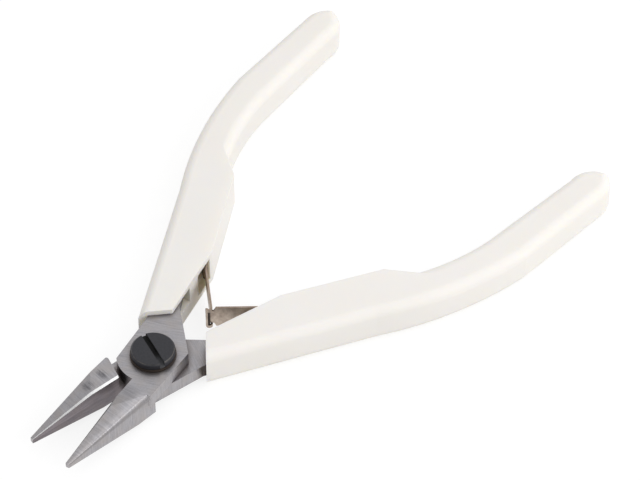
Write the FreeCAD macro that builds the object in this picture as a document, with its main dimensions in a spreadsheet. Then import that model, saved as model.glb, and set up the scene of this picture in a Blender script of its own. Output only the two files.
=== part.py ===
"""Short-nosed electronics pliers with a lap joint, moulded grips and interlocking leaf springs.

Both levers are the same forging, one turned over on the other.  Each piece is drawn in its lever's
own frame: the pivot is the origin, +X runs towards the handle, the closed jaw face lies on y = 0, the
jaw is on the -Y side, the handle on the +Y side, and z = 0 is the plane where the two laps meet.
"""
import math
import os
import re

import FreeCAD
import Part
import Sketcher
from FreeCAD import Placement, Rotation, Vector

SIZES = {
    # whole tool
    "half_open": 8.4,          # degrees each lever stands from the closed position at rest
    "pivot_shift": -30.649,    # pivot from the middle of the open tool's footprint
    "cut_margin": 1.0,         # how far a cut starts or ends outside the piece
    # steel levers
    "steel_half": 2.8,         # half the thickness of the closed joint and of the jaws' root
    "lap_gap": 0.02,           # half the running gap between the laps
    "face_gap": 0.03,          # jaw face from the middle plane when closed
    "boss_radius": 6.5,        # round front edge of the lap
    "boss_side": 5.05,         # straight side of the lap from the pivot
    "neck_out_x": 6.5,         # neck's outer corner, where the lever swings out into the grip
    "neck_out_y": 5.85,
    "corner_x": 3.6,           # lap's rear corner
    "neck_mid_x": 8.1,         # neck's inner edge
    "neck_mid_y": -1.0,
    "neck_in_x": 12.2,
    "neck_in_y": 2.75,
    "tang_in_x": 17.5,         # tang's inner edge inside the grip
    "tang_in_y": 5.2,
    "tang_end_x": 44.0,
    "tang_end_out": 18.2,
    "tang_end_in": 14.6,
    "tang_taper": 1.0,
    # jaws: a flattened cone whose point lies ahead of the tip
    "apex_reach": 30.0,        # cone's point from the pivot
    "tip_reach": 26.8,         # jaw tip from the pivot
    "root_reach": 6.3,         # jaw's root from the pivot
    "lap_overlap": 1.9,        # how far the lap runs on into the jaw
    "step_reach": 7.72,        # step behind the jaw, at the jaw face
    "step_out": 6.5,           # and at its outer corner
    "step_corner": 0.55,       # rounding of the step's outer corner
    "cone_width": 0.215,       # cone's width, height and rounding per millimetre from its point
    "cone_height": 0.172,
    "cone_round": 0.08,
    "cone_bevel": 0.022,
    "ridge_width": 0.9,        # ridge where the sloping top turns down, as shares of width and height
    "ridge_height": 0.75,
    "side_above": 0.4,         # upright side above and below the middle plane, as shares of the height
    "side_below": 0.85,
    "jaw_chamfer": 0.35,       # chamfer along the face's lower edge at the root
    # pivot screw
    "shank_radius": 2.0,
    "bore_clearance": 0.03,
    "washer_radius": 4.12,
    "washer_height": 0.5,
    "head_radius": 3.97,
    "head_height": 1.2,
    "head_edge": 0.3,
    "slot_width": 0.95,
    "slot_depth": 0.8,
    "slot_angle": 68.5,
    # grips
    "grip_half": 3.85,         # half the grip's thickness
    "handle_edge": 1.9,        # rounding of the handle and of the grip's back
    "front_in_x": 9.9,
    "front_in_y": 2.6,
    "front_out_x": 6.0,
    "front_out_y": 7.4,
    "slope_x": 25.6,
    "slope_y": 4.6,
    "bump_x": 43.8,
    "bump_y": 11.9,
    "notch_x": 46.7,
    "notch_y": 15.2,
    "palm_x": 63.5,
    "palm_y": 18.3,
    "palm_radius": 45.0,
    "heel_x": 85.4,
    "heel_y": 17.0,
    "end_x": 91.8,
    "end_y": 20.6,
    "end_radius": 5.2,
    "back_x": 87.4,
    "back_y": 23.9,
    "crest_x": 66.0,
    "crest_y": 25.8,
    "swing_x": 36.0,
    "swing_y": 18.9,
    "swing_radius": 72.0,
    "channel_end": 16.6,       # front channel that the tang shows in
    "channel_floor": 0.8,      # its floor below the middle plane
    "channel_play": 0.3,
    "slot_front": 19.6,        # slot that the leaf spring comes out of
    "slot_back": 24.5,
    "slot_floor": 5.9,
    "slot_lean": 0.5,
    "slot_half": 2.7,
    # leaf springs
    "leaf_half": 2.4,          # half the strip's width
    "leaf_gauge": 0.36,
    "leaf_root_x": 24.2,       # where the strip starts to bend, in the lever's frame
    "leaf_root_y": 5.3,
    "leaf_reach": 11.8,        # from there to the point where the two springs cross
    "bead_radius": 0.5,        # bead along the strip's root, which turns in a seat in the grip
    "hook_radius": 0.47,       # rolled hook, measured to the middle of the strip
    "hook_turn": 170.0,
    "window_half": 1.75,        # window in front of the hook: half its width, and both its ends
    "window_ahead": 0.65,
    "window_behind": 0.7,
    "window_depth": 0.75,
    "tongue_half": 1.55,        # tongue that reaches through the window
    "tongue_reach": 0.3,
    "tongue_nose": 0.22,       # radius of its end, and where it widens to the strip
    "tongue_root": 0.4,
    "tongue_slope": 0.4,
}

doc = FreeCAD.newDocument("Pliers")
sheet = doc.addObject("Spreadsheet::Sheet", "Sizes")
for row, (alias, number) in enumerate(SIZES.items(), start=1):
    sheet.set("A%d" % row, alias)
    sheet.set("B%d" % row, str(number))
    sheet.setAlias("B%d" % row, alias)
doc.recompute()


def bound(expression):
    """The expression with its cell names pointing at the sheet."""
    return re.sub(r"[a-z]+(?:_[a-z]+)+", lambda found: "Sizes." + found.group(), expression)


def number(expression):
    """The value that an expression of cell names has now."""
    return float(doc.Sizes.evalExpression(bound(expression)))


def plane(body, role):
    return next(item for item in body.Origin.OriginFeatures if item.Role == role)


def new_sketch(body, name, role, offset=None):
    """An empty sketch on one of the body's origin planes, moved along the plane's normal."""
    sketch = body.newObject("Sketcher::SketchObject", name)
    sketch.AttachmentSupport = [(plane(body, role), "")]
    sketch.MapMode = "FlatFace"
    if offset:
        sketch.setExpression("AttachmentOffset.Base.z", bound(offset))
    return sketch


def hold(sketch, geometry, end, direction, expression):
    """Pin one coordinate of a point to an expression, or to the axis where it is zero."""
    if expression == "0":
        axis = -2 if direction == "DistanceX" else -1
        sketch.addConstraint(Sketcher.Constraint("PointOnObject", geometry, end, axis))
        return
    made = sketch.addConstraint(Sketcher.Constraint(direction, -1, 1, geometry, end, number(expression)))
    sketch.setExpression("Constraints[%d]" % made, bound(expression))


def arc_between(start, end, radius):
    """Arc from start to end; a positive radius turns left, a negative one right."""
    chord = end - start
    middle = (start + end) * 0.5
    side = Vector(-chord.y, chord.x, 0).normalize()
    rise = math.sqrt(max(radius * radius - chord.Length ** 2 / 4, 0))
    centre = middle + side * (rise if radius > 0 else -rise)
    angles = [math.atan2((point - centre).y, (point - centre).x) for point in (start, end)]
    if radius < 0:
        angles.reverse()
    return Part.ArcOfCircle(Part.Circle(centre, Vector(0, 0, 1), abs(radius)), *angles)


def draw(sketch, corners):
    """A closed outline through corners (x, y) or (x, y, radius of the arc that leaves the corner)."""
    points = [Vector(number(corner[0]), number(corner[1]), 0) for corner in corners]
    ends = []
    for index, corner in enumerate(corners):
        start, end = points[index], points[(index + 1) % len(points)]
        if len(corner) == 2:
            made = sketch.addGeometry(Part.LineSegment(start, end), False)
            ends.append((made, 1, 2))
            continue
        radius = number(corner[2])
        made = sketch.addGeometry(arc_between(start, end, radius), False)
        ends.append((made, 1, 2) if radius > 0 else (made, 2, 1))
    for index, corner in enumerate(corners):
        made, first, last = ends[index]
        following, next_first, _ = ends[(index + 1) % len(ends)]
        sketch.addConstraint(Sketcher.Constraint("Coincident", made, last, following, next_first))
    for index, corner in enumerate(corners):
        made, first, last = ends[index]
        hold(sketch, made, first, "DistanceX", corner[0])
        hold(sketch, made, first, "DistanceY", corner[1])
        if len(corner) == 3:
            radius = sketch.addConstraint(Sketcher.Constraint("Radius", made, abs(number(corner[2]))))
            sketch.setExpression("Constraints[%d]" % radius, "abs(%s)" % bound(corner[2]))


def outline(body, name, role, corners, offset=None):
    sketch = new_sketch(body, name, role, offset)
    draw(sketch, corners)
    return sketch


def circle(body, name, radius, centre=("0", "0"), offset=None):
    """A circle round a point in plan, which is the pivot unless it is given."""
    sketch = new_sketch(body, name, "XY_Plane", offset)
    middle = Vector(number(centre[0]), number(centre[1]), 0)
    made = sketch.addGeometry(Part.Circle(middle, Vector(0, 0, 1), number(radius)), False)
    hold(sketch, made, 3, "DistanceX", centre[0])
    hold(sketch, made, 3, "DistanceY", centre[1])
    size = sketch.addConstraint(Sketcher.Constraint("Radius", made, number(radius)))
    sketch.setExpression("Constraints[%d]" % size, bound(radius))
    return sketch


def pad(body, name, profile, length, symmetric=False):
    feature = body.newObject("PartDesign::Pad", name)
    feature.Profile = profile
    feature.setExpression("Length", bound(length))
    feature.SideType = "Symmetric" if symmetric else "One side"
    doc.recompute()
    return feature


def pocket(body, name, profile, length=None, symmetric=True, upwards=False):
    """Cut a profile through everything, or by a length; the cut has to take something away."""
    before = body.Shape.Volume
    feature = body.newObject("PartDesign::Pocket", name)
    feature.Profile = profile
    feature.SideType = "Symmetric" if symmetric else "One side"
    feature.Reversed = upwards
    if length:
        feature.setExpression("Length", bound(length))
    else:
        feature.Type = "ThroughAll"
    doc.recompute()
    if body.Shape.Volume >= before - 1e-6:
        raise RuntimeError(name + " cuts nothing")
    return feature


def nose_section(body, name, reach):
    """Section across the jaw at a reach from the pivot: flat face, sloping top, ridge, upright side."""
    run = "(apex_reach - %s)" % reach
    wide = "cone_width * " + run
    high = "cone_height * " + run
    bevel = "cone_bevel * " + run
    corners = [
        ("-face_gap", "%s - %s" % (bevel, high)),
        ("-face_gap - " + bevel, "-" + high),
        ("-" + wide, "-side_below * " + high),
        ("-" + wide, "side_above * " + high, "-cone_round * " + run),
        ("-ridge_width * " + wide, "ridge_height * " + high),
        ("-face_gap - " + bevel, high),
        ("-face_gap", "%s - %s" % (high, bevel)),
    ]
    return outline(body, name, "YZ_Plane", corners, "-" + reach)


def trim_nose(body):
    """Mill the jaw's root flat: top, bottom and side, and chamfer the face's lower edge."""
    ahead, behind, clear = "-apex_reach - cut_margin", "cut_margin - root_reach", "2 * boss_side"
    for name, low, high in (("Top", "steel_half", clear), ("Back", "-" + clear, "-steel_half")):
        flat = [(ahead, low), (behind, low), (behind, high), (ahead, high)]
        pocket(body, name + "Flat", outline(body, name + "FlatOutline", "XZ_Plane", flat))
    side = [(ahead, "-boss_side"), (ahead, "-" + clear), (behind, "-" + clear), (behind, "-boss_side")]
    pocket(body, "SideFlat", outline(body, "SideFlatOutline", "XY_Plane", side))
    chamfer = [
        ("cut_margin - face_gap", "-steel_half - cut_margin"),
        ("cut_margin - face_gap", "cut_margin + jaw_chamfer - steel_half"),
        ("-face_gap - jaw_chamfer - cut_margin", "-steel_half - cut_margin"),
    ]
    pocket(body, "FaceChamfer", outline(body, "FaceChamferOutline", "YZ_Plane", chamfer))


def lap_outline(body):
    """Lap, neck and tang in plan."""
    corners = [
        ("-sqrt(boss_radius ^ 2 - face_gap ^ 2)", "-face_gap", "-boss_radius"),
        ("-sqrt(boss_radius ^ 2 - boss_side ^ 2)", "boss_side"),
        ("neck_out_x", "neck_out_y"),
        ("tang_end_x", "tang_end_out"),
        ("tang_end_x + tang_taper", "tang_end_in"),
        ("tang_in_x", "tang_in_y"),
        ("neck_in_x", "neck_in_y"),
        ("neck_mid_x", "neck_mid_y"),
        ("corner_x", "-boss_side"),
        ("-root_reach - lap_overlap", "-boss_side"),
        ("-root_reach - lap_overlap", "-face_gap"),
    ]
    return outline(body, "LapOutline", "XY_Plane", corners, "lap_gap")


def lever(name, bore):
    """One forged half: jaw of full thickness, lap and tang of half thickness."""
    body = doc.addObject("PartDesign::Body", name)
    nose = body.newObject("PartDesign::AdditiveLoft", "Nose")
    nose.Profile = nose_section(body, "NoseRoot", "root_reach")
    nose.Sections = [nose_section(body, "NoseTip", "tip_reach")]
    nose.Ruled = True
    doc.recompute()
    trim_nose(body)
    behind = "cut_margin - root_reach"
    step = [
        ("-step_reach", "step_corner"),
        ("-step_reach", "-face_gap"),
        ("-step_out", "step_corner - boss_side", "-step_corner"),
        ("-step_out - step_corner", "-boss_side"),
        ("-step_out - step_corner", "-boss_side - cut_margin"),
        (behind, "-boss_side - cut_margin"),
        (behind, "step_corner"),
    ]
    profile = outline(body, "StepOutline", "XY_Plane", step, "lap_gap")
    pocket(body, "Step", profile, "2 * steel_half", symmetric=False)
    pad(body, "Lap", lap_outline(body), "steel_half - lap_gap")
    pocket(body, "Bore", circle(body, "BoreOutline", bore))
    return body


def grip_outline(body):
    corners = [
        ("front_in_x", "front_in_y"),
        ("slope_x", "slope_y"),
        ("bump_x", "bump_y"),
        ("notch_x", "notch_y", "-palm_radius"),
        ("palm_x", "palm_y"),
        ("heel_x", "heel_y", "end_radius"),
        ("end_x", "end_y", "end_radius"),
        ("back_x", "back_y"),
        ("crest_x", "crest_y", "swing_radius"),
        ("swing_x", "swing_y"),
        ("front_out_x", "front_out_y"),
    ]
    return outline(body, "GripOutline", "XY_Plane", corners)


def tang_line(reach):
    """Height of the tang's outer edge at a reach from the pivot."""
    slope = "(tang_end_out - neck_out_y) / (tang_end_x - neck_out_x)"
    return "neck_out_y + (%s - neck_out_x) * %s" % (reach, slope)


def hollow_grip(body):
    """Cut the flanged channel, the tang's socket and the spring's slot."""
    floor = "front_in_y - cut_margin"
    channel = [
        ("neck_out_x / 2", floor),
        ("channel_end", floor),
        ("channel_end", tang_line("channel_end")),
        ("neck_out_x", "neck_out_y"),
        ("neck_out_x / 2", "neck_out_y - channel_play"),
    ]
    profile = outline(body, "ChannelOutline", "XY_Plane", channel, "steel_half")
    pocket(body, "Channel", profile, "steel_half + channel_floor", symmetric=False)
    socket = [
        ("neck_out_x", "neck_out_y"),
        ("tang_end_x", "tang_end_out"),
        ("tang_end_x + tang_taper", "tang_end_in"),
        ("tang_in_x", "tang_in_y"),
        ("neck_in_x", "neck_in_y"),
    ]
    profile = outline(body, "SocketOutline", "XY_Plane", socket, "lap_gap")
    pocket(body, "Socket", profile, "steel_half - lap_gap", symmetric=False, upwards=True)
    slot = [
        ("slot_front", "slope_y / 2"),
        ("slot_back", "slope_y / 2"),
        ("slot_back", "slot_floor"),
        ("slot_front + slot_lean", "slot_floor - slot_lean"),
    ]
    pocket(body, "SpringSlot", outline(body, "SlotOutline", "XY_Plane", slot), "2 * slot_half")
    seat = circle(body, "SeatOutline", "bead_radius + bore_clearance", ("leaf_root_x", "leaf_root_y"))
    pocket(body, "SpringSeat", seat, "2 * slot_half")


def touches(edge, corners):
    """Whether an edge ends over one of the grip outline's named corners."""
    places = [Vector(number(corner + "_x"), number(corner + "_y"), 0) for corner in corners]
    ends = [Vector(vertex.X, vertex.Y, 0) for vertex in edge.Vertexes]
    return any(end.isEqual(place, 1e-6) for end in ends for place in places)


def handle_edges(blank):
    """Edges to round: all round both flat faces, apart from the crisp inner ones ahead of the notch."""
    chosen = []
    for index, edge in enumerate(blank.Shape.Edges, start=1):
        in_face = abs(abs(edge.CenterOfMass.z) - number("grip_half")) < 1e-6
        if in_face and not touches(edge, ("front_in", "slope", "bump")):
            chosen.append("Edge%d" % index)
    return chosen


def grip(name):
    """Moulded grip: a flanged front that holds the tang and the spring, and a rounded handle."""
    body = doc.addObject("PartDesign::Body", name)
    blank = pad(body, "Blank", grip_outline(body), "2 * grip_half", symmetric=True)
    rounding = body.newObject("PartDesign::Fillet", "HandleEdges")
    rounding.Base = (blank, handle_edges(blank))
    rounding.setExpression("Radius", bound("handle_edge"))
    doc.recompute()
    hollow_grip(body)
    return body


def pivot_screw(name):
    """Slotted screw: a low flat head on the front lever and a shank threaded into the rear one."""
    body = doc.addObject("PartDesign::Body", name)
    seat = "steel_half + 2 * lap_gap + washer_height"
    head_top = seat + " + head_height"
    profile = [
        ("0", "-steel_half"),
        ("shank_radius", "-steel_half"),
        ("shank_radius", seat),
        ("head_radius", seat),
        ("head_radius", head_top + " - head_edge"),
        ("head_radius - head_edge", head_top),
        ("0", head_top),
    ]
    turned = body.newObject("PartDesign::Revolution", "Turned")
    turned.Profile = outline(body, "TurnedOutline", "XZ_Plane", profile)
    turned.ReferenceAxis = (turned.Profile[0], ["V_Axis"])
    turned.Angle = 360
    doc.recompute()
    slot = [
        ("-head_radius - cut_margin", "-slot_width / 2"),
        ("head_radius + cut_margin", "-slot_width / 2"),
        ("head_radius + cut_margin", "slot_width / 2"),
        ("-head_radius - cut_margin", "slot_width / 2"),
    ]
    profile = outline(body, "SlotOutline", "XY_Plane", slot, head_top + " - slot_depth")
    pocket(body, "Slot", profile, "slot_depth + cut_margin", symmetric=False, upwards=True)
    return body


def washer(name):
    """Washer under the screw's head, on the front lever."""
    body = doc.addObject("PartDesign::Body", name)
    rim = circle(body, "DiscOutline", "washer_radius", offset="steel_half + lap_gap")
    pad(body, "Disc", rim, "washer_height")
    pocket(body, "Bore", circle(body, "BoreOutline", "shank_radius + bore_clearance"))
    return body


def hook_point(radius):
    """End of the hook's roll on its outer or inner side."""
    angle = "(270 deg - hook_turn * 1 deg)"
    return "%s * cos%s" % (radius, angle), "hook_radius + %s * sin%s" % (radius, angle)


def hooked_strip():
    """Side outline of the strip whose end rolls up towards the jaws."""
    outer, inner = "(hook_radius + leaf_gauge / 2)", "(hook_radius - leaf_gauge / 2)"
    return [
        ("leaf_reach", "leaf_gauge / 2"),
        ("0", "leaf_gauge / 2", "-" + inner),
        hook_point(inner),
        (*hook_point(outer), outer),
        ("0", "-leaf_gauge / 2"),
        ("leaf_reach", "-leaf_gauge / 2"),
    ]


def plain_strip():
    """Side outline of the strip whose end is a tongue."""
    tip = "-tongue_reach"
    return [
        ("leaf_reach", "leaf_gauge / 2"),
        (tip, "leaf_gauge / 2", "tongue_nose"),
        (tip, "-leaf_gauge / 2"),
        ("leaf_reach", "-leaf_gauge / 2"),
    ]


def cut_window(body):
    window = [
        ("-window_ahead", "-window_half"),
        ("window_behind", "-window_half"),
        ("window_behind", "window_half"),
        ("-window_ahead", "window_half"),
    ]
    pocket(body, "Window", outline(body, "WindowOutline", "XZ_Plane", window), "2 * window_depth")


def cut_tongue(body):
    """Narrow the strip's end from both edges."""
    ahead = "-tongue_reach - cut_margin"
    for side, sign in (("Upper", ""), ("Lower", "-")):
        corner = [
            (ahead, sign + "tongue_half"),
            ("tongue_root", sign + "tongue_half"),
            ("tongue_root + tongue_slope", sign + "leaf_half"),
            ("tongue_root + tongue_slope", sign + "2 * leaf_half"),
            (ahead, sign + "2 * leaf_half"),
        ]
        pocket(body, side + "Corner", outline(body, side + "CornerOutline", "XZ_Plane", corner))


def leaf(name, hooked):
    """Spring strip in a frame with its origin where the two springs cross and +X towards its root."""
    body = doc.addObject("PartDesign::Body", name)
    corners = hooked_strip() if hooked else plain_strip()
    pad(body, "Strip", outline(body, "StripOutline", "XY_Plane", corners), "2 * leaf_half", symmetric=True)
    if hooked:
        cut_window(body)
    else:
        cut_tongue(body)
    bead = circle(body, "BeadOutline", "bead_radius", ("leaf_reach", "0"))
    pad(body, "Bead", bead, "2 * leaf_half", symmetric=True)
    return body


def stand(body, angle, turned_over=False, reach=0.0):
    """Place a piece on the open tool, as drawn or turned over with its lever."""
    turn = Rotation(Vector(0, 0, 1), angle)
    if turned_over:
        turn = Rotation(Vector(0, 0, 1), -angle).multiply(Rotation(Vector(1, 0, 0), 180))
    body.Placement = Placement(Vector(number("pivot_shift") + reach, 0, number("grip_half")), turn)


def crossing():
    """Where the springs cross, from the pivot, and the angle at which each strip stands."""
    root = Vector(number("leaf_root_x"), number("leaf_root_y"), 0)
    root = Rotation(Vector(0, 0, 1), number("half_open")).multVec(root)
    angle = math.asin(root.y / number("leaf_reach"))
    return root.x - number("leaf_reach") * math.cos(angle), math.degrees(angle)


def assemble():
    """Make every piece and stand it on the open tool."""
    half_open = number("half_open")
    meeting, strip_angle = crossing()
    front, rear = lever("front_lever", "shank_radius + bore_clearance"), lever("rear_lever", "shank_radius")
    for side, steel, turned_over in (("front", front, False), ("rear", rear, True)):
        stand(steel, half_open, turned_over)
        stand(grip(side + "_grip"), half_open, turned_over)
        stand(leaf(side + "_spring_leaf", not turned_over), strip_angle, turned_over, meeting)
    stand(pivot_screw("pivot_screw"), number("slot_angle"))
    stand(washer("pivot_washer"), 0)
    doc.recompute()
    print("springs cross %.3f mm from the pivot" % meeting)


def check_and_export():
    """Refuse a failed object, then write each piece under its label."""
    for item in doc.Objects:
        if {"Invalid", "Error"} & set(item.State):
            raise RuntimeError("%s failed: %s" % (item.Name, item.State))
    os.makedirs("parts", exist_ok=True)
    for body in doc.findObjects("PartDesign::Body"):
        shape = body.Shape
        if shape.isNull() or not shape.isValid():
            raise RuntimeError(body.Label + " has no valid shape")
        shape.exportStep("parts/%s.step" % body.Label)
        print("%-20s %9.1f mm3" % (body.Label, shape.Volume))


assemble()
check_and_export()
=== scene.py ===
"""Looks of the short-nosed electronics pliers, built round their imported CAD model.

The frame is in metres: +X runs from the jaws to the handles, +Y to the front lever's handle and
+Z up out of the screw's head.  Sizes below are in millimetres and become metres where they are used.
"""
import math

import bpy
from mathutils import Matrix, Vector


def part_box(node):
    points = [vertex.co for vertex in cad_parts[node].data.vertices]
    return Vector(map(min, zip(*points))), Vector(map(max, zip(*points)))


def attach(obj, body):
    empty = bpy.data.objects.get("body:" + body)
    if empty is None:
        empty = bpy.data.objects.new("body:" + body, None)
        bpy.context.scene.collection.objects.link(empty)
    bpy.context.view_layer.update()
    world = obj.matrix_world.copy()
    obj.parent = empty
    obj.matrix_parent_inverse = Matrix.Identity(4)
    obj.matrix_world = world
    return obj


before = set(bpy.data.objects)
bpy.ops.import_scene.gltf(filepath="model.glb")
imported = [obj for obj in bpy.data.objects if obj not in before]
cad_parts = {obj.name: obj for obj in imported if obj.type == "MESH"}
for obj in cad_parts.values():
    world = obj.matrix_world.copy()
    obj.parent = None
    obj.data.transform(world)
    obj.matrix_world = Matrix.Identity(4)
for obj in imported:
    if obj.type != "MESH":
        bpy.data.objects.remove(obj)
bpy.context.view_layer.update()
scene = bpy.context.scene

MM = 0.001
WHITE = (1.0, 1.0, 1.0)
OCCLUSION_SAMPLES = 8


def middle(node):
    """Middle of a CAD node's box, in metres."""
    low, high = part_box(node)
    return (low + high) / 2


LAP_HEIGHT = middle("front_grip").z / MM            # plane where the two laps meet, half way up a grip
PIVOT = Vector((middle("pivot_washer").x, 0.0, LAP_HEIGHT * MM))
HALF_OPEN = math.radians(8.4)                       # each lever's turn from the closed position


# ---- shader graphs -------------------------------------------------------------------------------

def new_material(name):
    """An empty principled material: the material, its node tree and its shader."""
    material = bpy.data.materials.new(name)
    material.use_nodes = True
    tree = material.node_tree
    return material, tree, tree.nodes["Principled BSDF"]


def plug(tree, socket, value):
    """Set a socket, or link another node's output to it."""
    if isinstance(value, bpy.types.NodeSocket):
        tree.links.new(value, socket)
    else:
        socket.default_value = value


def set_inputs(tree, node, **values):
    """Set or link a node's inputs by name, with _ for each space."""
    for name, value in values.items():
        plug(tree, node.inputs[name.replace("_", " ")], value)


def add(tree, kind, settings=None, **values):
    """A node with its properties set, and its inputs set or linked."""
    made = tree.nodes.new("ShaderNode" + kind)
    for name, value in (settings or {}).items():
        setattr(made, name, value)
    set_inputs(tree, made, **values)
    return made


def math_node(tree, operation, first, second=0.0, clamp=False):
    made = add(tree, "Math", {"operation": operation, "use_clamp": clamp})
    plug(tree, made.inputs[0], first)
    plug(tree, made.inputs[1], second)
    return made.outputs[0]


def product(tree, *values):
    result = values[0]
    for value in values[1:]:
        result = math_node(tree, "MULTIPLY", result, value)
    return result


def vector_math(tree, operation, first, second):
    made = add(tree, "VectorMath", {"operation": operation})
    plug(tree, made.inputs[0], first)
    plug(tree, made.inputs[1], tuple(second))
    return made.outputs["Vector"]


def stretched(tree, vector, factors):
    return vector_math(tree, "MULTIPLY", vector, factors)


def turned(tree, vector, turn):
    return add(tree, "Mapping", Vector=vector, Rotation=(0.0, 0.0, -turn)).outputs["Vector"]


def length(tree, vector):
    made = add(tree, "VectorMath", {"operation": "LENGTH"})
    plug(tree, made.inputs[0], vector)
    return made.outputs["Value"]


def split(tree, vector):
    made = add(tree, "SeparateXYZ", Vector=vector)
    return made.outputs["X"], made.outputs["Y"], made.outputs["Z"]


def ramp(tree, factor, stops):
    """Colour ramp through stops (position, colour or grey level)."""
    made = add(tree, "ValToRGB", Fac=factor)
    elements = made.color_ramp.elements
    while len(elements) < len(stops):
        elements.new(1.0)
    for element, (position, value) in zip(elements, stops):
        colour = (value,) * 3 if isinstance(value, (int, float)) else value
        element.position = position
        element.color = (*colour, 1.0)
    return made.outputs["Color"]


def mix_value(tree, factor, first, second):
    made = add(tree, "Mix", {"data_type": "FLOAT"})
    for index, value in ((0, factor), (2, first), (3, second)):
        plug(tree, made.inputs[index], value)
    return made.outputs[0]


def mix_colour(tree, factor, first, second, blend_type="MIX"):
    made = add(tree, "Mix", {"data_type": "RGBA", "blend_type": blend_type})
    plug(tree, made.inputs[0], factor)
    for index, value in ((6, first), (7, second)):
        linked = isinstance(value, bpy.types.NodeSocket)
        plug(tree, made.inputs[index], value if linked else (*value, 1.0))
    return made.outputs[2]


def tinted(tree, factor, colour, tint):
    """A colour times a tint, as far as the factor says."""
    return mix_colour(tree, factor, colour, tint, "MULTIPLY")


def rise(tree, value, start, end):
    """Soft step from 0 at start to 1 at end; start may be the larger."""
    upwards = start < end
    made = add(
        tree, "MapRange", {"interpolation_type": "SMOOTHSTEP"}, Value=value,
        From_Min=min(start, end), From_Max=max(start, end), To_Min=float(not upwards), To_Max=float(upwards),
    )
    return made.outputs["Result"]


def band(tree, value, low, high, soft):
    """1 between low and high, fading to 0 over soft on both sides."""
    return product(tree, rise(tree, value, low - soft, low), rise(tree, value, high + soft, high))


def spot(tree, place, centre, radii):
    """Soft elliptical patch in the along and across directions."""
    moved = vector_math(tree, "SUBTRACT", place, (*centre, 0.0))
    flat = stretched(tree, moved, (1 / radii[0], 1 / radii[1], 0.0))
    return rise(tree, length(tree, flat), 1.0, 0.25)


def occlusion(tree, reach_mm):
    """1 in the open and 0 deep in a corner."""
    made = add(tree, "AmbientOcclusion", {"samples": OCCLUSION_SAMPLES}, Distance=reach_mm * MM)
    return made.outputs["AO"]


def noise(tree, where, scale=1.0, detail=2.0, roughness=0.5):
    made = add(tree, "TexNoise", Vector=where, Scale=scale, Detail=detail, Roughness=roughness)
    return made.outputs["Fac"]


def bump(tree, height, depth_mm, strength=1.0):
    made = add(tree, "Bump", Height=height, Distance=depth_mm * MM, Strength=strength)
    return made.outputs["Normal"]


def lever_place(tree, turn=0.0, side=1):
    """Millimetres from the pivot along, across and up a lever at a turn; side -1 turns it over."""
    moved = vector_math(tree, "SUBTRACT", add(tree, "TexCoord").outputs["Object"], PIVOT)
    return stretched(tree, turned(tree, moved, turn), (1 / MM, side / MM, side / MM))


def lever_normal(tree, turn=0.0, side=1):
    """Surface direction along, across and up a lever."""
    normal = add(tree, "TexCoord").outputs["Normal"]
    return stretched(tree, turned(tree, normal, turn), (1, side, side))


# ---- levers --------------------------------------------------------------------------------------

STEEL_LOW = (0.212, 0.207, 0.221)
STEEL_HIGH = (0.350, 0.342, 0.358)
WORN_PATCH = (0.30, 0.275, 0.262)
# painted shade that darkens the jaw's inner faces
JAW_FACE_SHADE = (0.84, 0.77, 0.79)
DARK_PATCH_GREY = (0.105, 0.102, 0.110)
# painted light that brightens the upright sides
SIDE_PAINTED_LIGHT = (1.38, 1.37, 1.36)
# painted shade on the sides that face the handles
REAR_SIDE_SHADE = (0.080, 0.070, 0.064)
# painted light on the step's face
STEP_PAINTED_LIGHT = (0.75, 0.74, 0.74)
# painted shade in the corners round the joint
CORNER_SHADE = (0.30, 0.26, 0.24)

# Where soft steps along a lever start and end, from the pivot, with the jaw on the minus side
JAW_FACE = (-4.5, -6.0)
BOSS_LINES = (-9.0, -6.5)
CONE = (-7.2, -9.2)
BEVEL_LIGHT = (-18.0, -9.0)
UNSHADED_JAW = (-7.5, -9.0)
OUTER_ROOT = (-4.5, -5.5)

CONE_APEX = 30.0                                    # point of the jaw's cone, ahead of the pivot
BOSS_TILT = math.radians(18)                        # slant of the boss's grinding lines
DARK_PATCHES = (                                         # place and radii of each, along and across
    ((-13.1, -1.8), (1.35, 1.7)),
    ((-9.6, -2.4), (1.1, 1.8)),
)


class LeverPoint:
    """Sockets for a shaded point of a lever: its place, the way it faces and the part it is on."""

    def __init__(self, tree, turn, side):
        self.place = lever_place(tree, turn, side)
        self.along, self.across, self.up = split(tree, self.place)
        facing = split(tree, lever_normal(tree, turn, side))
        self.facing_along, self.facing_across, self.facing_up = facing
        self.level = math_node(tree, "ABSOLUTE", self.facing_up)
        inwards = rise(tree, self.facing_across, 0.75, 0.95)
        self.jaw_face = product(tree, inwards, rise(tree, self.along, *JAW_FACE))


def grinding(tree, place, pitch, tilt=0.0):
    """Uneven parallel lines across the lever, pitch of them to a millimetre."""
    lines = stretched(tree, turned(tree, place, tilt), (pitch, 0.22, 0.22))
    return noise(tree, lines, detail=4.0, roughness=0.65)


def steel_grain(tree, point):
    """Lines across the jaw and aslant on the boss, brushed lines along the jaw's face, and speckle."""
    jaw_lines = grinding(tree, point.place, 3.6)
    boss_lines = grinding(tree, point.place, 5.5, BOSS_TILT)
    brushed = noise(tree, stretched(tree, point.place, (0.25, 3.0, 3.0)), detail=4.0, roughness=0.6)
    lines = mix_value(tree, rise(tree, point.along, *BOSS_LINES), jaw_lines, boss_lines)
    lines = mix_value(tree, point.jaw_face, lines, brushed)
    speckle = noise(tree, point.place, scale=3.2, detail=3.0, roughness=0.7)
    return math_node(tree, "ADD", product(tree, lines, 0.72), product(tree, speckle, 0.28))


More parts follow.
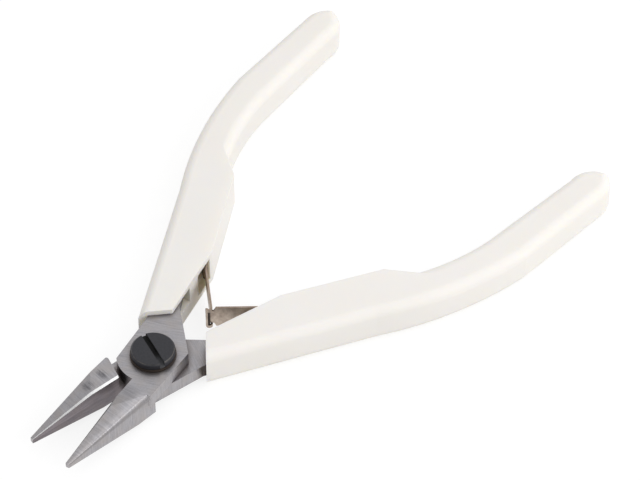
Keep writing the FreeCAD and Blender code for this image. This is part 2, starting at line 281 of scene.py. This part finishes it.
def painted_cone_light(tree, point):
    """Painted light round the jaw's cone: painted shade near the inner edge, a painted highlight streak
    along the outer ridge and a painted dark line of shade under it.
    """
    run = math_node(tree, "ADD", point.along, CONE_APEX)
    height = math_node(tree, "DIVIDE", point.up, run)
    width = math_node(tree, "DIVIDE", point.across, product(tree, run, -1.0))
    # painted shade near the inner edge, rising to a painted highlight at the ridge
    top = ramp(tree, width, [(0.05, 0.80), (0.105, 0.84), (0.140, 0.96), (0.162, 1.12), (0.192, 1.08)])
    # painted dark line of shade under the ridge
    side = ramp(tree, height, [(0.0, 1.02), (0.050, 0.98), (0.066, 0.80), (0.092, 0.72), (0.116, 1.0)])
    shade = mix_colour(tree, rise(tree, width, 0.188, 0.196), top, side)
    on_cone = product(tree, rise(tree, point.along, *CONE), rise(tree, point.up, -0.1, 0.1))
    return mix_colour(tree, on_cone, WHITE, shade)


def ground_tone(tree, point, grain):
    """The steel's own colour, with worn patches, painted light round the jaw's cone and painted shade on the
    jaw's inner faces.
    """
    tone = ramp(tree, grain, [(0.30, STEEL_LOW), (0.70, STEEL_HIGH)])
    worn = ramp(tree, noise(tree, point.place, scale=0.45, detail=3.0), [(0.38, 0.0), (0.70, 0.55)])
    tone = mix_colour(tree, worn, tone, WORN_PATCH)
    tone = tinted(tree, 1.0, tone, painted_cone_light(tree, point))
    # painted shade on the jaw's inner faces
    return tinted(tree, point.jaw_face, tone, JAW_FACE_SHADE)


def dark_patch_tone(tree, point, tone, grain, patch_list):
    """Dark uneven elliptical patches on the lever's own underside, which the rear lever has on top."""
    under = rise(tree, point.facing_up, -0.5, -0.9)
    uneven = rise(tree, grain, 0.74, 0.34)
    for centre, radii in patch_list:
        patch = product(tree, spot(tree, point.place, centre, radii), under, uneven)
        tone = mix_colour(tree, patch, tone, DARK_PATCH_GREY)
    return tone


def painted_facet_light(tree, point, tone):
    """Painted light on the upright sides, painted shade where they face the handles, and a painted highlight
    on a step and on the jaw bevel.
    """
    # painted light on the upright sides
    side = product(tree, rise(tree, point.level, 0.5, 0.2), rise(tree, point.jaw_face, 1.0, 0.0))
    tone = tinted(tree, side, tone, SIDE_PAINTED_LIGHT)
    # painted shade on the sides that face the handles
    rearward_shade = product(tree, side, rise(tree, point.facing_along, 0.12, 0.40))
    tone = mix_colour(tree, rearward_shade, tone, REAR_SIDE_SHADE)
    # painted highlight on the step's face
    step = product(tree, rise(tree, point.facing_along, -0.4, -0.7), rise(tree, point.across, -3.4, -3.8))
    tone = mix_colour(tree, step, tone, STEP_PAINTED_LIGHT)
    # painted highlight along the jaw bevel, brighter towards the root
    bevel = rise(tree, product(tree, point.facing_across, point.level), 0.28, 0.42)
    bevel_light = ramp(tree, rise(tree, point.along, *BEVEL_LIGHT), [(0.0, 0.27), (1.0, 0.44)])
    return mix_colour(tree, bevel, tone, bevel_light)


def corner_shade_tone(tree, point, tone):
    """Painted shade in the corners round the joint, from occlusion, with the jaw and its outer root left
    without it.
    """
    outer_root = product(tree, rise(tree, point.across, -3.8, -4.4), rise(tree, point.along, *OUTER_ROOT))
    unshaded = math_node(tree, "MAXIMUM", outer_root, rise(tree, point.along, *UNSHADED_JAW))
    # painted shade where occlusion finds a corner
    unshaded = math_node(tree, "MAXIMUM", rise(tree, occlusion(tree, 2.4), 0.25, 0.90), unshaded)
    return mix_colour(tree, unshaded, tinted(tree, 1.0, tone, CORNER_SHADE), tone)


def steel(name, turn, side, patch_list=()):
    """Ground tool steel of one lever, with painted highlights and painted shade."""
    material, tree, shader = new_material(name)
    point = LeverPoint(tree, turn, side)
    grain = steel_grain(tree, point)
    tone = ground_tone(tree, point, grain)
    tone = dark_patch_tone(tree, point, tone, grain, patch_list)
    tone = painted_facet_light(tree, point, tone)
    set_inputs(
        tree, shader, Base_Color=corner_shade_tone(tree, point, tone), Metallic=1.0,
        Roughness=ramp(tree, grain, [(0.25, 0.46), (0.75, 0.30)]), Normal=bump(tree, grain, 0.010),
    )
    return material


# ---- screw and washer ----------------------------------------------------------------------------

OXIDE_LOW = (0.0120, 0.0125, 0.0165)
OXIDE_HIGH = (0.022, 0.022, 0.028)
# painted highlight round the head's rim
RIM_HIGHLIGHT = (0.07, 0.064, 0.06)
# painted shade down in the slot and painted light at its lower end
SLOT_SHADE = (0.0030, 0.0028, 0.0028)
SLOT_LIT = (0.060, 0.061, 0.066)
# dark brown of the washer, kept dark as painted shade under the screw head
BROWN_LOW = (0.045, 0.034, 0.028)
BROWN_HIGH = (0.085, 0.066, 0.053)

HEAD_CORNER = (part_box("pivot_screw")[1] - PIVOT) / MM
HEAD_TOP = HEAD_CORNER.z                            # above the lap plane
RIM_RADIUS = HEAD_CORNER.x - 0.19                   # painted highlight line just inside the head's edge
RIM_HALF, RIM_FADE = 0.04, 0.06
SLOT_TURN = math.radians(68.5)
SLOT_LIGHT = (-0.6, -2.6)                           # painted light grows from here to there along the slot
SLOT_EDGE = 0.1                                     # height over which the slot's painted shade starts
SLOT_HALF, SLOT_FADE = 0.475, 0.03                  # half the slot's width, and the fade beside it


def black_oxide():
    """Blackened pivot screw: fine speckle, painted shade in the slot with painted light towards its lower
    end, and a broken painted highlight line round the rim.
    """
    material, tree, shader = new_material("black_screw")
    place = lever_place(tree, SLOT_TURN)
    along, across, up = split(tree, place)
    speckle = noise(tree, place, scale=2.4, detail=4.0, roughness=0.6)
    colour = ramp(tree, speckle, [(0.3, OXIDE_LOW), (0.75, OXIDE_HIGH)])

    radius = length(tree, stretched(tree, place, (1, 1, 0)))
    # painted highlight round the rim, broken up by noise
    rim = band(tree, radius, RIM_RADIUS - RIM_HALF, RIM_RADIUS + RIM_HALF, RIM_FADE)
    highlight_breaks = rise(tree, noise(tree, place, scale=0.55), 0.42, 0.60)
    colour = mix_colour(tree, product(tree, rim, highlight_breaks), colour, RIM_HIGHLIGHT)

    beside = rise(tree, math_node(tree, "ABSOLUTE", across), SLOT_HALF + SLOT_FADE, SLOT_HALF)
    in_slot = product(tree, beside, rise(tree, up, HEAD_TOP, HEAD_TOP - SLOT_EDGE))
    # painted shade down in the slot, with painted light towards its lower end
    slot = mix_colour(tree, rise(tree, along, *SLOT_LIGHT), SLOT_SHADE, SLOT_LIT)
    set_inputs(
        tree, shader, Base_Color=mix_colour(tree, in_slot, colour, slot), Specular_IOR_Level=0.33,
        Roughness=ramp(tree, in_slot, [(0.0, 0.44), (1.0, 0.85)]), Normal=bump(tree, speckle, 0.008),
    )
    return material


def brown_shaded_washer():
    """Washer: dark brown steel with turning marks round its edge, kept this dark as painted shade under the
    screw's head.
    """
    material, tree, shader = new_material("washer_brown_and_shade")
    rings = noise(tree, stretched(tree, lever_place(tree), (0.4, 0.4, 9.0)), detail=3.0)
    set_inputs(
        tree, shader, Base_Color=ramp(tree, rings, [(0.3, BROWN_LOW), (0.7, BROWN_HIGH)]), Metallic=0.8,
        Roughness=ramp(tree, rings, [(0.3, 0.42), (0.7, 0.58)]), Normal=bump(tree, rings, 0.01),
    )
    return material


# ---- grips ---------------------------------------------------------------------------------------

CREAM_LOW = (0.868, 0.838, 0.795)
CREAM_HIGH = (0.880, 0.852, 0.822)
# painted warm light in the grip's shut-in pockets
CREAM_POCKET_LIGHT = (0.86, 0.80, 0.66)


def moulded_plastic():
    """Cream satin grip: fine spark texture, a trace of colour drift, and painted warm light in its shut-in
    pockets, found by occlusion.
    """
    material, tree, shader = new_material("grip_plastic")
    place = lever_place(tree)
    colour = ramp(tree, noise(tree, place, scale=0.06), [(0.3, CREAM_LOW), (0.7, CREAM_HIGH)])
    # painted warm light where occlusion finds a pocket
    inside = rise(tree, occlusion(tree, 4.0), 0.60, 0.15)
    grain = noise(tree, place, scale=4.5, roughness=0.6)
    set_inputs(
        tree, shader, Base_Color=mix_colour(tree, inside, colour, CREAM_POCKET_LIGHT),
        Roughness=ramp(tree, grain, [(0.3, 0.50), (0.7, 0.60)]), Specular_IOR_Level=0.3,
        Subsurface_Weight=0.35, Subsurface_Radius=(1.0, 0.85, 0.55), Subsurface_Scale=1.5 * MM,
        Normal=bump(tree, grain, 0.012, strength=0.5),
    )
    return material


# ---- springs -------------------------------------------------------------------------------------

STRIP_BROWN = (0.36, 0.285, 0.235)
STRIP_STRAW = (0.56, 0.47, 0.395)
STRIP_PALE = (0.70, 0.61, 0.54)
# painted shade on faces that look up
STRIP_TOP_SHADE = (0.50, 0.47, 0.45)
# painted shade in corners
STRIP_CORNER_SHADE = (0.06, 0.045, 0.035)
# painted shade on the dark sheet inside the spring's hook
HOOK_SHADE_LOW = (0.065, 0.052, 0.044)
HOOK_SHADE_HIGH = (0.13, 0.105, 0.088)

CROSSING = Vector((-15.368, 0.0, LAP_HEIGHT))       # where the two strips meet
STRIP_BACK = Vector((0.6682, 0.7439, 0.0))          # front strip's direction from there to its root
HOOK_SIDE = Vector((-0.7439, 0.6682, 0.0))          # side to which its end rolls up
HOOK_RADIUS = 0.47
WEB_START, WEB_SWEEP, WEB_STEPS = 105, 93, 14       # degrees round the roll, and its facets
WEB_INNER, WEB_OUTER = 0.31, 0.43
WEB_HALF_HEIGHT = 1.8


def spring_strip():
    """Rolled spring strip with a warm heat tint, lengthwise rolling marks, and painted shade on faces that
    look up and in corners.
    """
    material, tree, shader = new_material("spring_steel")
    place = lever_place(tree)
    tint = noise(tree, place, scale=0.7, detail=4.0, roughness=0.65)
    colour = ramp(tree, tint, [(0.3, STRIP_BROWN), (0.55, STRIP_STRAW), (0.8, STRIP_PALE)])
    facing_up = split(tree, lever_normal(tree))[2]
    # painted shade on the faces that look up
    colour = tinted(tree, rise(tree, facing_up, 0.6, 0.9), colour, STRIP_TOP_SHADE)
    # painted shade in corners, from occlusion
    corner = rise(tree, occlusion(tree, 1.0), 0.75, 0.25)
    grain = noise(tree, stretched(tree, place, (1, 1, 5)), scale=2.5, detail=3.0, roughness=0.6)
    set_inputs(
        tree, shader, Base_Color=mix_colour(tree, corner, colour, STRIP_CORNER_SHADE), Metallic=1.0,
        Roughness=ramp(tree, grain, [(0.3, 0.32), (0.7, 0.46)]), Normal=bump(tree, grain, 0.008),
    )
    return material


def hook_shade_material():
    """Dark colour of the sheet in the hook, painted shade where the roll closes behind the window."""
    material, tree, shader = new_material("hook_painted_shade")
    shade_noise = noise(tree, lever_place(tree), scale=3.0, detail=3.0)
    set_inputs(
        tree, shader, Base_Color=ramp(tree, shade_noise, [(0.3, HOOK_SHADE_LOW), (0.7, HOOK_SHADE_HIGH)]),
        Roughness=ramp(tree, shade_noise, [(0.3, 0.6), (0.7, 0.8)]), Normal=bump(tree, shade_noise, 0.006),
    )
    return material


def web_section(angle):
    """Four corners of the web's section at an angle round the roll, in metres."""
    outwards = STRIP_BACK * math.cos(angle) + HOOK_SIDE * math.sin(angle)
    centre = CROSSING + HOOK_SIDE * HOOK_RADIUS
    low, high = -WEB_HALF_HEIGHT, WEB_HALF_HEIGHT
    corners = ((WEB_INNER, low), (WEB_OUTER, low), (WEB_OUTER, high), (WEB_INNER, high))
    return [(centre + outwards * radius + Vector((0, 0, height))) * MM for radius, height in corners]


def hook_shade_sheet():
    """Thin curved dark sheet across the nose of the front spring's hook inside its window, put there as
    painted shade.
    """
    points = []
    for index in range(WEB_STEPS + 1):
        points += web_section(math.radians(WEB_START + WEB_SWEEP * index / WEB_STEPS))
    last = 4 * WEB_STEPS
    faces = [(3, 2, 1, 0), (last, last + 1, last + 2, last + 3)]
    for start in range(0, last, 4):
        for corner in range(4):
            this, following = start + corner, start + (corner + 1) % 4
            faces.append((this, following, following + 4, this + 4))
    mesh = bpy.data.meshes.new("front_spring_hook_shade_sheet")
    mesh.from_pydata(points, [], faces)
    mesh.validate()
    # the sheet carries painted shade
    mesh.materials.append(hook_shade_material())
    web = bpy.data.objects.new("front_spring_hook_shade_sheet", mesh)
    scene.collection.objects.link(web)
    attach(web, "front_spring")


# ---- the part ------------------------------------------------------------------------------------

LEVER_EDGE, SCREW_EDGE, GRIP_EDGE = 0.10, 0.05, 0.15
SHARP_ANGLE = math.radians(35)


def dress(name, material, edge_mm=0.0):
    """Give a CAD node its material and, where it has sharp edges, a small worn bevel."""
    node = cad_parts[name]
    node.data.materials.clear()
    node.data.materials.append(material)
    if edge_mm:
        edge = node.modifiers.new("worn_edges", "BEVEL")
        edge.width = edge_mm * MM
        edge.segments = 2
        edge.limit_method = "ANGLE"
        edge.angle_limit = SHARP_ANGLE
        edge.harden_normals = True


dress("front_lever", steel("front_steel", HALF_OPEN, 1), LEVER_EDGE)
dress("rear_lever", steel("rear_steel", -HALF_OPEN, -1, DARK_PATCHES), LEVER_EDGE)
dress("pivot_screw", black_oxide(), SCREW_EDGE)
dress("pivot_washer", brown_shaded_washer(), SCREW_EDGE)
plastic = moulded_plastic()
strip = spring_strip()
for side in ("front", "rear"):
    dress(side + "_grip", plastic, GRIP_EDGE)
    dress(side + "_spring_leaf", strip)
hook_shade_sheet()


# ---- stage ---------------------------------------------------------------------------------------

FLOOR_SIZE = 6.0                                    # in metres, as are the lamps' distances and sizes
FLOOR_LIT = (0.80, 0.80, 0.79)                      # what the floor gives back to the part
FLOOR_SEEN = (0.24, 0.24, 0.24)                     # what of it takes the shadow in the picture
FLOOR_GLOW = 0.80                                   # the rest of its white in the picture
WORLD_LEVEL = 0.65
LAMPS = (                                           # name, azimuth, elevation, distance, side, watts
    ("key", -10, 62, 0.8, 0.9, 1.9),
    ("fill", -80, 28, 0.9, 0.7, 3.0),
)
VIEW = (-139.069, 47.264, 595.3 * MM)               # camera's azimuth, elevation and distance
AIM = Vector((11.462, -2.482, LAP_HEIGHT)) * MM
LENS, SENSOR = 182.46, 36.0


def seen_rays(tree):
    """1 for rays from the camera, in a reflection or through glass, and 0 for those that light."""
    path = add(tree, "LightPath")
    total = math_node(tree, "ADD", path.outputs["Is Camera Ray"], path.outputs["Is Glossy Ray"])
    return math_node(tree, "ADD", total, path.outputs["Is Transmission Ray"], clamp=True)


def make_floor():
    """Pale floor that keeps the shadow: most of its white is its own where it is seen."""
    bpy.ops.mesh.primitive_plane_add(size=FLOOR_SIZE)
    floor = bpy.context.object
    floor.name = "floor"
    material, tree, shader = new_material("floor_white")
    seen = seen_rays(tree)
    set_inputs(
        tree, shader, Base_Color=mix_colour(tree, seen, FLOOR_LIT, FLOOR_SEEN),
        Roughness=1.0, Specular_IOR_Level=0.0,
        Emission_Color=(*WHITE, 1.0), Emission_Strength=product(tree, seen, FLOOR_GLOW),
    )
    floor.data.materials.append(material)


def make_world():
    """White where it is seen, and a lower level of light on the part."""
    world = bpy.data.worlds.new("studio")
    scene.world = world
    world.use_nodes = True
    tree = world.node_tree
    level = math_node(tree, "MAXIMUM", seen_rays(tree), WORLD_LEVEL)
    set_inputs(tree, tree.nodes["Background"], Color=(*WHITE, 1.0), Strength=level)


def place_facing(name, data, azimuth, elevation, distance, aim):
    """Put a lamp or camera at a bearing in degrees and a distance from the point that it faces."""
    turn, tilt = math.radians(azimuth), math.radians(elevation)
    bearing = Vector((math.cos(turn) * math.cos(tilt), math.sin(turn) * math.cos(tilt), math.sin(tilt)))
    placed = bpy.data.objects.new(name, data)
    placed.location = aim + bearing * distance
    placed.rotation_euler = (-bearing).to_track_quat("-Z", "Y").to_euler()
    scene.collection.objects.link(placed)
    return placed


def softbox(name, azimuth, elevation, distance, side, watts):
    """Square lamp that faces the middle of the part."""
    data = bpy.data.lights.new(name, "AREA")
    data.shape = "SQUARE"
    data.size = side
    data.energy = watts
    place_facing(name, data, azimuth, elevation, distance, Vector((0, 0, 0)))


def make_camera():
    """The photograph's long-lens view, down on the tool from beyond its jaws."""
    data = bpy.data.cameras.new("camera")
    data.sensor_width = SENSOR
    data.lens = LENS
    data.clip_start = 0.01
    scene.camera = place_facing("camera", data, *VIEW, AIM)


make_floor()
make_world()
for lamp in LAMPS:
    softbox(*lamp)
make_camera()
scene.view_settings.view_transform = "Standard"
